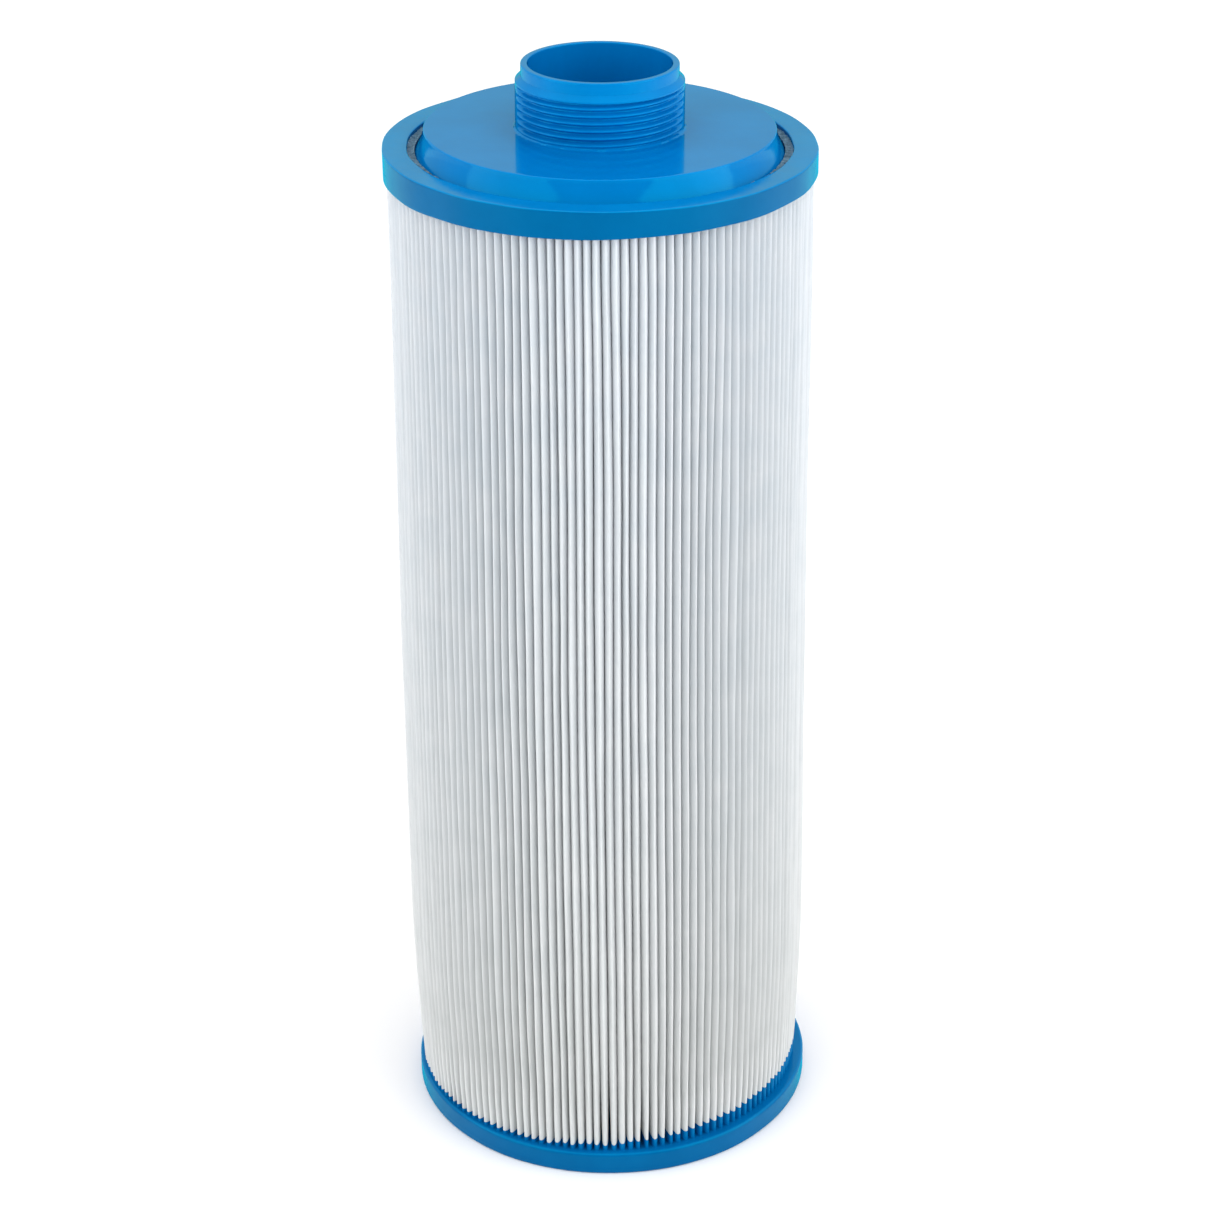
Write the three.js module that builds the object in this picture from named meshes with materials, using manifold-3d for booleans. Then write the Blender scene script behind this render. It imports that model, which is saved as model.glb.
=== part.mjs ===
// Pleated filter cartridge for a pool or spa, standing on its closed end with the threaded outlet on top.
// Millimetres, +Z up. The origin is the centre of the bottom face.
import * as THREE from "three";
import { mergeVertices } from "three/addons/utils/BufferGeometryUtils.js";
import Module from "manifold-3d";

// Clearance between neighbouring pieces.
const GAP = 0.3;

// Whole cartridge.
const TOTAL_HEIGHT = 338;

// Cast end caps.
const BOTTOM_CAP_RADIUS = 63;
const BOTTOM_CAP_HEIGHT = 7.3;
const TOP_CAP_RADIUS = 62.3;
const TOP_CAP_BOTTOM_Z = 306.5;
const TOP_CAP_RIM_Z = 314;
const CAP_EDGE_ROUND = 1.2;
const RIM_INNER_RADIUS = 55;
const GROOVE_FLOOR_Z = 308.6;
const SEALANT_OUTER_HEIGHT = 1.9;
const SEALANT_INNER_HEIGHT = 3.1;
const CAP_SEGMENTS = 64;

// Outlet fitting: a raised disc with a male 1 1/2 inch thread.
const DISC_TOP_Z = 319.4;
const DISC_TOP_RADIUS = 50.4;
const DISC_FOOT_RADIUS = 53;
const FLARE_TOP_Z = 315.6;
const FLARE_FOOT_Z = 312.3;
const FLARE_TOP_RADIUS = 51;
const DISC_WALL = 3;
const SKIRT_WALL = 4.2;
const DISC_EDGE_ROUND = 0.7;
const BORE_RADIUS = 20.6;
const COLLAR_RADIUS = 25.6;
const THREAD_RADIUS = 24.15;
const THREAD_PITCH = 25.4 / 12;
const THREAD_DEPTH = 1.35;
const THREAD_CREST_Z = 321.05;
const THREAD_TOP_Z = 333;
const THREAD_RUN_IN = 0.6;
const THREAD_RUN_OUT = 1.2;
const MOULD_LINE_FADE = [0.24, 0.5];
const LIP_RADIUS = 22.55;
const LIP_FOOT_Z = 334.6;
const NECK_CHAMFER = 1.5;
const LIP_ROUND = 0.4;
const ROWS_PER_PITCH = 5;
const FITTING_SEGMENTS = 40;

// Core cage: three sections that plug into each other.
const CORE_SECTIONS = ["lower", "middle", "upper"];
const CORE_OUTER_RADIUS = 25.5;
const CORE_INNER_RADIUS = 22.5;
const CORE_TOP_Z = 306.5;
const CORE_SEGMENTS = 24;
const PLUG_LENGTH = 6;
const FITTING_SPIGOT_LENGTH = 13.5;
const WINDOW_COLUMNS = 12;
const WINDOW_ROWS = 3;
const WINDOW_WIDTH = 5.2;
const WINDOW_HEIGHT = 22;
const WINDOW_ROW_PITCH = 28;

// Closure that plugs the bottom of the core.
const CLOSURE_THICKNESS = 2;

// Pleated sheet.
const PLEAT_COUNT = 146;
const PLEAT_TIP_RADIUS = 61.3;
const PLEAT_ROOT_RADIUS = 26.2;
const TIP_HALF_WIDTH = 0.75;
const TIP_THICKNESS = 0.9;
const SHEET_THICKNESS = 0.45;
const SEAM_ANGLE = THREE.MathUtils.degToRad(1.8);

// Hot-melt line that joins the two ends of the sheet.
const SEAM_INNER_RADIUS = 38;
const SEAM_OUTER_RADIUS = 56;
const SEAM_THICKNESS = 0.8;

const wasm = await Module();
wasm.setup();

function plastic(color, roughness) {
  return new THREE.MeshStandardMaterial({ color, roughness, metalness: 0 });
}

const MATERIALS = {
  fitting: plastic(0x0079cf, 0.25),
  cap: plastic(0x0074c6, 0.32),
  sealant: plastic(0x8e9499, 0.8),
  media: plastic(0xeef1f2, 0.95),
  core: plastic(0xe9e8e2, 0.5),
  glue: plastic(0xe6e2d2, 0.6),
};

function part(name, geometry, material) {
  const mesh = new THREE.Mesh(geometry, material);
  mesh.name = name;
  return mesh;
}

// Turned solid about Z from [radius, z] points, listed with the outside going up.
function turned(points, segments) {
  const profile = points.map(([radius, z]) => new THREE.Vector2(radius, z));
  return new THREE.LatheGeometry(profile, segments).rotateX(Math.PI / 2);
}

// The same for a ring, whose profile closes on itself.
function turnedRing(points, segments) {
  return turned([...points, points[0]], segments);
}

function toSolid(geometry) {
  const bare = geometry.clone();
  bare.deleteAttribute("normal");
  bare.deleteAttribute("uv");
  const merged = mergeVertices(bare, 1e-3);
  const mesh = new wasm.Mesh({
    numProp: 3,
    vertProperties: merged.attributes.position.array,
    triVerts: new Uint32Array(merged.index.array),
  });
  return new wasm.Manifold(mesh);
}

function toGeometry(solid) {
  const mesh = solid.getMesh();
  const geometry = new THREE.BufferGeometry();
  geometry.setAttribute("position", new THREE.BufferAttribute(mesh.vertProperties, 3));
  geometry.setIndex(new THREE.BufferAttribute(mesh.triVerts, 1));
  return geometry;
}

// Cast disc that closes the lower end.
function bottomEndCap() {
  const top = BOTTOM_CAP_HEIGHT;
  const shoulder = BOTTOM_CAP_RADIUS - CAP_EDGE_ROUND;
  const profile = [
    [0, 0],
    [shoulder, 0],
    [BOTTOM_CAP_RADIUS, CAP_EDGE_ROUND],
    [BOTTOM_CAP_RADIUS, top - CAP_EDGE_ROUND],
    [shoulder, top],
    [0, top],
  ];
  return part("bottom_end_cap", turned(profile, CAP_SEGMENTS), MATERIALS.cap);
}

// Cast ring with an outer rim, a groove and a raised bed that fills the fitting from below.
function topEndCap() {
  const shoulder = TOP_CAP_RADIUS - CAP_EDGE_ROUND;
  const bedRadius = DISC_FOOT_RADIUS - SKIRT_WALL - GAP;
  const bedTop = DISC_TOP_Z - DISC_WALL - GAP;
  const boreRadius = COLLAR_RADIUS + GAP;
  const profile = [
    [boreRadius, TOP_CAP_BOTTOM_Z],
    [shoulder, TOP_CAP_BOTTOM_Z],
    [TOP_CAP_RADIUS, TOP_CAP_BOTTOM_Z + CAP_EDGE_ROUND],
    [TOP_CAP_RADIUS, TOP_CAP_RIM_Z - CAP_EDGE_ROUND],
    [shoulder, TOP_CAP_RIM_Z],
    [RIM_INNER_RADIUS, TOP_CAP_RIM_Z],
    [RIM_INNER_RADIUS, GROOVE_FLOOR_Z],
    [bedRadius, GROOVE_FLOOR_Z],
    [bedRadius, bedTop],
    [boreRadius, bedTop],
  ];
  return part("top_end_cap", turnedRing(profile, CAP_SEGMENTS), MATERIALS.cap);
}

// Potting adhesive in the groove between the fitting and the rim. It stands higher against the fitting.
function grooveSealant() {
  const inner = DISC_FOOT_RADIUS + GAP;
  const outer = RIM_INNER_RADIUS - GAP;
  const bottom = GROOVE_FLOOR_Z + GAP;
  const profile = [
    [inner, bottom],
    [outer, bottom],
    [outer, bottom + SEALANT_OUTER_HEIGHT],
    [inner, bottom + SEALANT_INNER_HEIGHT],
  ];
  return part("groove_sealant", turnedRing(profile, CAP_SEGMENTS), MATERIALS.sealant);
}

// Radius of the neck at a height and an angle: a rounded right-hand thread below a full band and a chamfer.
// The grooves run out above the disc and beside the two mould lines, which are on +X and -X.
function neckRadius(z, angle) {
  const turns = (z - THREAD_CREST_Z) / THREAD_PITCH - angle / (2 * Math.PI);
  const phase = turns - Math.floor(turns);
  const groove = Math.min(1, 1.4 * Math.max(0, 1 - Math.abs(2 * phase - 1) - 0.15));
  const runOut = Math.min(1, (z - DISC_TOP_Z) / THREAD_RUN_OUT);
  const runIn = THREE.MathUtils.clamp((THREAD_TOP_Z - z) / THREAD_RUN_IN, 0, 1);
  const fade = THREE.MathUtils.smoothstep(Math.abs(Math.sin(angle)), ...MOULD_LINE_FADE);
  const chamfer = LIP_RADIUS + ((LIP_FOOT_Z - z) * (THREAD_RADIUS - LIP_RADIUS)) / NECK_CHAMFER;
  return Math.min(chamfer, THREAD_RADIUS - THREAD_DEPTH * groove * runIn * runOut * fade);
}

// Presses the thread and its chamfer into the rows of the neck, which start at the full thread radius.
function cutThread(geometry) {
  const position = geometry.attributes.position;
  for (let i = 0; i < position.count; i++) {
    const x = position.getX(i);
    const y = position.getY(i);
    const z = position.getZ(i);
    const radius = Math.hypot(x, y);
    const onNeck = Math.abs(radius - THREAD_RADIUS) < 1e-3 && z > DISC_TOP_Z;
    if (!onNeck) continue;
    const scale = neckRadius(z, Math.atan2(y, x)) / radius;
    position.setXY(i, x * scale, y * scale);
  }
  return geometry;
}

// Moulded outlet fitting: spigot, collar, hollow raised disc and threaded neck round one bore.
function threadedAdapter() {
  const spigotRadius = CORE_INNER_RADIUS - GAP;
  const spigotTop = CORE_TOP_Z + GAP;
  const spigotBottom = CORE_TOP_Z - FITTING_SPIGOT_LENGTH;
  const undersideZ = DISC_TOP_Z - DISC_WALL;
  const skirtInner = DISC_FOOT_RADIUS - SKIRT_WALL;
  const skirtBottom = GROOVE_FLOOR_Z + GAP;
  const rowHeight = THREAD_PITCH / ROWS_PER_PITCH;
  const rowCount = Math.floor((LIP_FOOT_Z - DISC_TOP_Z) / rowHeight);
  const threadRows = [];
  for (let row = 0; row < rowCount; row++) {
    threadRows.push([THREAD_RADIUS, LIP_FOOT_Z - (rowCount - row) * rowHeight]);
  }
  const profile = [
    [BORE_RADIUS, spigotBottom],
    [spigotRadius, spigotBottom],
    [spigotRadius, spigotTop],
    [COLLAR_RADIUS, spigotTop],
    [COLLAR_RADIUS, undersideZ],
    [skirtInner, undersideZ],
    [skirtInner, skirtBottom],
    [DISC_FOOT_RADIUS, skirtBottom],
    [DISC_FOOT_RADIUS, FLARE_FOOT_Z],
    [FLARE_TOP_RADIUS, FLARE_TOP_Z],
    [DISC_TOP_RADIUS, DISC_TOP_Z - DISC_EDGE_ROUND],
    [DISC_TOP_RADIUS - DISC_EDGE_ROUND, DISC_TOP_Z],
    [THREAD_RADIUS, DISC_TOP_Z],
    ...threadRows,
    [LIP_RADIUS, LIP_FOOT_Z],
    [LIP_RADIUS, TOTAL_HEIGHT - LIP_ROUND],
    [LIP_RADIUS - LIP_ROUND, TOTAL_HEIGHT],
    [BORE_RADIUS, TOTAL_HEIGHT],
  ];
  const body = cutThread(turnedRing(profile, FITTING_SEGMENTS));
  return part("threaded_adapter", body, MATERIALS.fitting);
}

// One cage section: a tube with rows of windows, a socket below and a spigot above where it joins on.
function coreSection(name, bottomZ, topZ, { socket, spigot }) {
  const jointRadius = (CORE_INNER_RADIUS + CORE_OUTER_RADIUS) / 2;
  const profile = [];
  if (socket) {
    profile.push([CORE_INNER_RADIUS, bottomZ + PLUG_LENGTH + GAP]);
    profile.push([jointRadius + GAP / 2, bottomZ + PLUG_LENGTH + GAP]);
    profile.push([jointRadius + GAP / 2, bottomZ]);
  } else {
    profile.push([CORE_INNER_RADIUS, bottomZ]);
  }
  profile.push([CORE_OUTER_RADIUS, bottomZ]);
  profile.push([CORE_OUTER_RADIUS, topZ]);
  if (spigot) {
    profile.push([jointRadius - GAP / 2, topZ]);
    profile.push([jointRadius - GAP / 2, topZ + PLUG_LENGTH]);
    profile.push([CORE_INNER_RADIUS, topZ + PLUG_LENGTH]);
  } else {
    profile.push([CORE_INNER_RADIUS, topZ]);
  }
  let solid = toSolid(turnedRing(profile, CORE_SEGMENTS));
  const middle = (bottomZ + topZ) / 2;
  for (let row = 0; row < WINDOW_ROWS; row++) {
    const z = middle + (row - (WINDOW_ROWS - 1) / 2) * WINDOW_ROW_PITCH;
    for (let column = 0; column < WINDOW_COLUMNS; column++) {
      const angle = ((column + 0.25) * 2 * Math.PI) / WINDOW_COLUMNS;
      solid = solid.subtract(toSolid(windowCutter(angle, z)));
    }
  }
  return part(name, toGeometry(solid), MATERIALS.core);
}

function windowCutter(angle, z) {
  const wall = CORE_OUTER_RADIUS - CORE_INNER_RADIUS;
  const middle = (CORE_OUTER_RADIUS + CORE_INNER_RADIUS) / 2;
  return new THREE.BoxGeometry(2 * wall, WINDOW_WIDTH, WINDOW_HEIGHT)
    .translate(middle, 0, z)
    .rotateZ(angle);
}

function coreCage() {
  const cage = new THREE.Group();
  const bottom = BOTTOM_CAP_HEIGHT + GAP + CLOSURE_THICKNESS + GAP;
  const count = CORE_SECTIONS.length;
  const length = (CORE_TOP_Z - bottom - (count - 1) * GAP) / count;
  CORE_SECTIONS.forEach((position, index) => {
    const bottomZ = bottom + index * (length + GAP);
    const joints = { socket: index > 0, spigot: index < count - 1 };
    cage.add(coreSection(`core_section_${position}`, bottomZ, bottomZ + length, joints));
  });
  return cage;
}

// Disc with a short spigot that closes the bottom of the core.
function coreClosure() {
  const bottom = BOTTOM_CAP_HEIGHT + GAP;
  const flange = bottom + CLOSURE_THICKNESS;
  const spigotRadius = CORE_INNER_RADIUS - GAP;
  const profile = [
    [0, bottom],
    [CORE_OUTER_RADIUS, bottom],
    [CORE_OUTER_RADIUS, flange],
    [spigotRadius, flange],
    [spigotRadius, flange + PLUG_LENGTH],
    [spigotRadius - CLOSURE_THICKNESS, flange + PLUG_LENGTH],
    [spigotRadius - CLOSURE_THICKNESS, flange],
    [0, flange],
  ];
  return part("core_closure", turned(profile, CORE_SEGMENTS), MATERIALS.core);
}

function polar(radius, angle) {
  return new THREE.Vector2(radius * Math.cos(angle), radius * Math.sin(angle));
}

// The closed sheet in plan: an outer and an inner outline that zigzag together, one tip for each pleat.
// The pleats start and end beside the seam, which is at the back, on +Y.
function pleatedMedia() {
  const pitch = (2 * Math.PI - SEAM_ANGLE) / PLEAT_COUNT;
  const start = Math.PI / 2 + SEAM_ANGLE / 2 + pitch / 2;
  const tipAngle = TIP_HALF_WIDTH / PLEAT_TIP_RADIUS;
  const rootAngle = SHEET_THICKNESS / PLEAT_ROOT_RADIUS;
  const outside = [];
  const inside = [];
  for (let pleat = 0; pleat < PLEAT_COUNT; pleat++) {
    const tip = start + pleat * pitch;
    const last = pleat === PLEAT_COUNT - 1;
    const root = tip + (last ? pitch + SEAM_ANGLE : pitch) / 2;
    const rootHalf = last ? rootAngle + SEAM_ANGLE / 2 : rootAngle;
    outside.push(polar(PLEAT_TIP_RADIUS, tip - tipAngle));
    outside.push(polar(PLEAT_TIP_RADIUS, tip + tipAngle));
    outside.push(polar(PLEAT_ROOT_RADIUS + SHEET_THICKNESS, root));
    inside.push(polar(PLEAT_TIP_RADIUS - TIP_THICKNESS, tip));
    inside.push(polar(PLEAT_ROOT_RADIUS, root - rootHalf));
    inside.push(polar(PLEAT_ROOT_RADIUS, root + rootHalf));
  }
  const shape = new THREE.Shape(outside);
  shape.holes.push(new THREE.Path(inside));
  const bottom = BOTTOM_CAP_HEIGHT + GAP;
  const depth = TOP_CAP_BOTTOM_Z - GAP - bottom;
  const geometry = new THREE.ExtrudeGeometry(shape, { depth, bevelEnabled: false });
  geometry.translate(0, 0, bottom);
  return part("pleated_media", geometry, MATERIALS.media);
}

// Hot-melt line in the wider gap at the back, where the two ends of the sheet meet.
function mediaSeam() {
  const bottom = BOTTOM_CAP_HEIGHT + GAP;
  const top = TOP_CAP_BOTTOM_Z - GAP;
  const length = SEAM_OUTER_RADIUS - SEAM_INNER_RADIUS;
  const geometry = new THREE.BoxGeometry(SEAM_THICKNESS, length, top - bottom);
  geometry.translate(0, (SEAM_OUTER_RADIUS + SEAM_INNER_RADIUS) / 2, (top + bottom) / 2);
  return part("media_seam", geometry, MATERIALS.glue);
}

const cartridge = new THREE.Group();
cartridge.add(bottomEndCap());
cartridge.add(coreClosure());
cartridge.add(coreCage());
cartridge.add(pleatedMedia());
cartridge.add(mediaSeam());
cartridge.add(topEndCap());
cartridge.add(grooveSealant());
cartridge.add(threadedAdapter());

export default cartridge;
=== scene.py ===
"""Looks of a pleated spa filter cartridge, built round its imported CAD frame. Metres, +Z up."""
import math

import bmesh
import bpy
import numpy as np
from mathutils import Matrix, Vector, noise

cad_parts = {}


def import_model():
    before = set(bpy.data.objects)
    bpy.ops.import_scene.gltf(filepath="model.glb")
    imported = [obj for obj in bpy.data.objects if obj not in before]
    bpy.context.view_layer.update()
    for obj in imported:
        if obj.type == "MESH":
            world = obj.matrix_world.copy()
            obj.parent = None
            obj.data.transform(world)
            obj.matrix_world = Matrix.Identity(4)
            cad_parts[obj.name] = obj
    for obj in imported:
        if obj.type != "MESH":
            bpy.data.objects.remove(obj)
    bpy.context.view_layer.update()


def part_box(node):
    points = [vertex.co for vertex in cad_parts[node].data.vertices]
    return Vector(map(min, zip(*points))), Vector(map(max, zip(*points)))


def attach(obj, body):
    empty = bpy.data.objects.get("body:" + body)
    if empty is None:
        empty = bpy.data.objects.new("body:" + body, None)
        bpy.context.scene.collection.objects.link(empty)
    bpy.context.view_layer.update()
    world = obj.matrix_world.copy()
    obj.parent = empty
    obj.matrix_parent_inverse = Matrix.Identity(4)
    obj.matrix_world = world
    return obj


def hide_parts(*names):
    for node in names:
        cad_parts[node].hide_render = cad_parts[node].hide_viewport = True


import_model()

MM = 0.001
ROOT = "root"
TURN = 2 * math.pi


# ---------------------------------------------------------------- places taken from the frame

FITTING_LOW, FITTING_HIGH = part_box("threaded_adapter")
TOP_CAP_LOW, TOP_CAP_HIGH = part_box("top_end_cap")
BOTTOM_CAP_LOW, BOTTOM_CAP_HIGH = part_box("bottom_end_cap")
MEDIA_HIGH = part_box("pleated_media")[1]
SEALANT_LOW, SEALANT_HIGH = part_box("groove_sealant")
SEAM_LOW, SEAM_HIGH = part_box("media_seam")
CLOSURE_LOW, CLOSURE_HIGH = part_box("core_closure")
CORE_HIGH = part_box("core_section_upper")[1]

TOP_Z = FITTING_HIGH.z
FITTING_RADIUS = FITTING_HIGH.x
TOP_CAP_RADIUS = TOP_CAP_HIGH.x
BOTTOM_CAP_RADIUS = BOTTOM_CAP_HIGH.x
CAP_TOP_Z = BOTTOM_CAP_HIGH.z
TIP_RADIUS = MEDIA_HIGH.x
CORE_RADIUS = CORE_HIGH.x
CORE_TOP_Z = CORE_HIGH.z

# Outlet fitting, measured from its own top and foot.
DISC_TOP_Z = TOP_Z - 18.6 * MM
DISC_TOP_RADIUS = FITTING_RADIUS - 2.6 * MM
DISC_UNDERSIDE_Z = DISC_TOP_Z - 3.0 * MM
FLARE_HEIGHT = 7.1 * MM
FLARE_FOOT_Z = DISC_TOP_Z - FLARE_HEIGHT
FLARE_WIDTH = FITTING_RADIUS - DISC_TOP_RADIUS
FLARE_POWER = 1.7
SKIRT_BOTTOM_Z = SEALANT_LOW.z
SKIRT_WALL = 4.2 * MM
BORE_RADIUS = 20.6 * MM
LIP_RADIUS = 22.55 * MM
LIP_FOOT_Z = TOP_Z - 3.4 * MM
NECK_CHAMFER = 1.5 * MM

# Thread: 12 to the inch, with flat crests and flat roots.
THREAD_RADIUS = 24.15 * MM
THREAD_PITCH = 25.4 / 12 * MM
THREAD_DEPTH = 1.3 * MM
THREAD_CREST_Z = DISC_TOP_Z + 1.65 * MM
THREAD_TOP_Z = TOP_Z - 5.3 * MM
THREAD_FLAT = 0.12
THREAD_FLANK = 1 - 2 * THREAD_FLAT
BURR_OFFSET = 0.14 * MM

# Cast rim and the groove between it and the fitting.
RIM_TOP_Z = TOP_CAP_LOW.z + 7.9 * MM
RIM_INNER_RADIUS = SEALANT_HIGH.x + 0.5 * MM
GROOVE_FLOOR_Z = SEALANT_LOW.z - 0.3 * MM

# The outlet end was cast a little out of square, by this slope: it is higher on -X.
OUTLET_TILT = 0.0135

# Steps round the moulded and cast pieces, and the angle, in degrees, past which their
# edges stay hard.
FITTING_SEGMENTS = 256
CAP_SEGMENTS = 288
ADHESIVE_SEGMENTS = 720
CLOSURE_SEGMENTS = 96
MOULDED_EDGE = 38

FILLET_SUPPORT = 0.5 * MM
SAME_PLACE = 0.01 * MM

# Sockets of a mix node in its colour mode.
MIX_FACTOR, MIX_FIRST, MIX_SECOND, MIX_RESULT = 0, 6, 7, 2


# ---------------------------------------------------------------- mesh helpers

def new_object(name, vertices, faces, sharp_angle):
    """A smooth mesh object that rides on the cartridge. Edges past the sharp angle, in degrees,
    stay hard."""
    mesh = bpy.data.meshes.new(name)
    mesh.from_pydata([tuple(v) for v in vertices], [], faces)
    mesh.polygons.foreach_set("use_smooth", [True] * len(mesh.polygons))
    mesh.set_sharp_from_angle(angle=math.radians(sharp_angle))
    mesh.update()
    piece = bpy.data.objects.new(name, mesh)
    bpy.context.scene.collection.objects.link(piece)
    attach(piece, ROOT)
    return piece


def finish_piece(piece, material, *nodes):
    """Gives the piece its material and puts it in the place of the CAD nodes it stands for."""
    piece.data.materials.append(material)
    if nodes:
        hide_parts(*nodes)


def rounded(corners, steps=5):
    """A profile of (radius, z) points from (radius, z, fillet) corners, with a support point beside
    each fillet."""
    points = []
    count = len(corners)
    for index, (radius, z, fillet) in enumerate(corners):
        corner = Vector((radius, z))
        if fillet <= 0:
            points.append(corner)
            continue
        before = Vector(corners[index - 1][:2]) - corner
        after = Vector(corners[(index + 1) % count][:2]) - corner
        half = before.angle(after) / 2
        reach = fillet / math.tan(half)
        middle = (before.normalized() + after.normalized()).normalized()
        centre = corner + middle * (fillet / math.sin(half))
        start = corner + before.normalized() * reach - centre
        end = corner + after.normalized() * reach - centre
        sweep = start.angle_signed(end)
        if before.length > 2 * (reach + FILLET_SUPPORT):
            points.append(corner + before.normalized() * (reach + FILLET_SUPPORT))
        for step in range(steps + 1):
            turned = Matrix.Rotation(-sweep * step / steps, 2) @ start
            points.append(centre + turned)
        if after.length > 2 * (reach + FILLET_SUPPORT):
            points.append(corner + after.normalized() * (reach + FILLET_SUPPORT))
    return [(p.x, p.y) for p in points]


def band(below, above, count):
    """Quads between two rings of vertices, each given by its first vertex."""
    around = [(i, (i + 1) % count) for i in range(count)]
    return [(below + i, below + j, above + j, above + i) for i, j in around]


def revolve(profile, segments, closed=True, shape=None):
    """Vertices and quads of a solid of revolution. shape(radius, height, turn), given arrays, may
    move the vertices."""
    profile = np.array(profile, float)
    angles = np.arange(segments) * TURN / segments
    radius = np.repeat(profile[:, 0][:, None], segments, axis=1)
    height = np.repeat(profile[:, 1][:, None], segments, axis=1)
    turn = np.repeat(angles[None, :], len(profile), axis=0)
    if shape:
        radius, height = shape(radius, height, turn)
    vertices = np.stack([radius * np.cos(turn), radius * np.sin(turn), height], -1).reshape(-1, 3)
    rows = len(profile)
    faces = []
    for row in range(rows if closed else rows - 1):
        faces += band(row * segments, ((row + 1) % rows) * segments, segments)
    return vertices, faces


def close_poles(vertices, faces, rows, segments, low_z, high_z):
    """Closes an open profile at its first and last rows with a fan to a point on the axis."""
    vertices = np.vstack([vertices, [(0, 0, low_z), (0, 0, high_z)]])
    low, high = len(vertices) - 2, len(vertices) - 1
    last = (rows - 1) * segments
    for s in range(segments):
        t = (s + 1) % segments
        faces.append((low, t, s))
        faces.append((high, last + s, last + t))
    return vertices, faces


def tilted(vertices, share=1.0):
    """Turns vertices by the outlet end's tilt or a share of it, about a line along Y at the height
    of the rim's top."""
    vertices = np.array(vertices, float)
    turn = OUTLET_TILT * share
    x, z = vertices[:, 0].copy(), vertices[:, 2].copy()
    vertices[:, 0] = x + (z - RIM_TOP_Z) * turn
    vertices[:, 2] = z - x * turn
    return vertices


def smoothstep(low, high, value):
    """0 up to low, 1 from high on, with a smooth rise between them."""
    t = np.clip((value - low) / (high - low), 0, 1)
    return t * t * (3 - 2 * t)


def waves(seed, count, amplitude, shortest, longest):
    """A smooth random function of length: a seeded sum of sine waves of wavelengths in a range."""
    random = np.random.default_rng(seed)
    lengths = random.uniform(shortest, longest, count)
    phases = random.uniform(0, TURN, count)
    sizes = random.uniform(0.4, 1.0, count)
    sizes *= amplitude / np.sqrt((sizes ** 2).sum() / 2)

    def value(x):
        x = np.asarray(x)[..., None]
        return (sizes * np.sin(TURN * x / lengths + phases)).sum(-1)

    return value


# ---------------------------------------------------------------- material helpers

class Nodes:
    """A material's node tree with short calls to add and link nodes."""

    def __init__(self, name):
        self.material = bpy.data.materials.new(name)
        self.material.use_nodes = True
        self.tree = self.material.node_tree
        self.tree.nodes.clear()
        self.output = self.tree.nodes.new("ShaderNodeOutputMaterial")
        self.shader = self.tree.nodes.new("ShaderNodeBsdfPrincipled")
        self.tree.links.new(self.shader.outputs["BSDF"], self.output.inputs["Surface"])
        self.place = self.tree.nodes.new("ShaderNodeTexCoord").outputs["Object"]

    def add(self, kind, settings=None, **inputs):
        """A node with settings, and with inputs given as values or as sockets to link."""
        node = self.tree.nodes.new(kind)
        for key, value in (settings or {}).items():
            setattr(node, key, value)
        for key, value in inputs.items():
            self.set_or_link(node.inputs[key.replace("_", " ")], value)
        return node

    def stretched(self, x, y, z):
        """Object coordinates scaled differently along each axis."""
        node = self.add("ShaderNodeMapping", Vector=self.place)
        node.inputs["Scale"].default_value = (x, y, z)
        return node.outputs["Vector"]

    def height(self, tilt=0.0):
        """The height on the object, measured square to a plane with that tilt about Y."""
        axes = self.add("ShaderNodeSeparateXYZ", Vector=self.place).outputs
        return self.math("ADD", axes["Z"], self.math("MULTIPLY", axes["X"], tilt))

    def noise(self, scale, detail=3.0, roughness=0.5, place=None, distortion=0.0):
        node = self.add("ShaderNodeTexNoise", Vector=place or self.place, Scale=scale,
                        Detail=detail, Roughness=roughness, Distortion=distortion)
        return node.outputs["Fac"]

    def ramp(self, value, low, high, start=0.0, end=1.0):
        """A value moved from the range start..end to low..high."""
        node = self.add("ShaderNodeMapRange", Value=value)
        node.inputs["From Min"].default_value = start
        node.inputs["From Max"].default_value = end
        node.inputs["To Min"].default_value = low
        node.inputs["To Max"].default_value = high
        return node.outputs["Result"]

    def mix(self, factor, first, second):
        node = self.add("ShaderNodeMix", {"data_type": "RGBA"})
        self.set_or_link(node.inputs[MIX_FACTOR], factor)
        self.set_or_link(node.inputs[MIX_FIRST], first)
        self.set_or_link(node.inputs[MIX_SECOND], second)
        return node.outputs[MIX_RESULT]

    def mottled(self, value, first, second, start=0.3, end=0.7):
        """One colour going over into the other while a value runs from start to end."""
        return self.mix(self.ramp(value, 0.0, 1.0, start, end), first, second)

    def math(self, operation, first, second):
        node = self.add("ShaderNodeMath", {"operation": operation})
        self.set_or_link(node.inputs[0], first)
        self.set_or_link(node.inputs[1], second)
        return node.outputs[0]

    def bump(self, height, strength, distance, normal=None):
        node = self.add("ShaderNodeBump", Height=height, Strength=strength, Distance=distance)
        if normal is not None:
            self.tree.links.new(normal, node.inputs["Normal"])
        return node.outputs["Normal"]

    def set_or_link(self, socket, value):
        if isinstance(value, bpy.types.NodeSocket):
            self.tree.links.new(value, socket)
        else:
            socket.default_value = value

    def shade(self, **inputs):
        """Sets or links inputs of the shader, and gives the finished material."""
        for key, value in inputs.items():
            self.set_or_link(self.shader.inputs[key.replace("_", " ")], value)
        return self.material


# ---------------------------------------------------------------- materials

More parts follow.
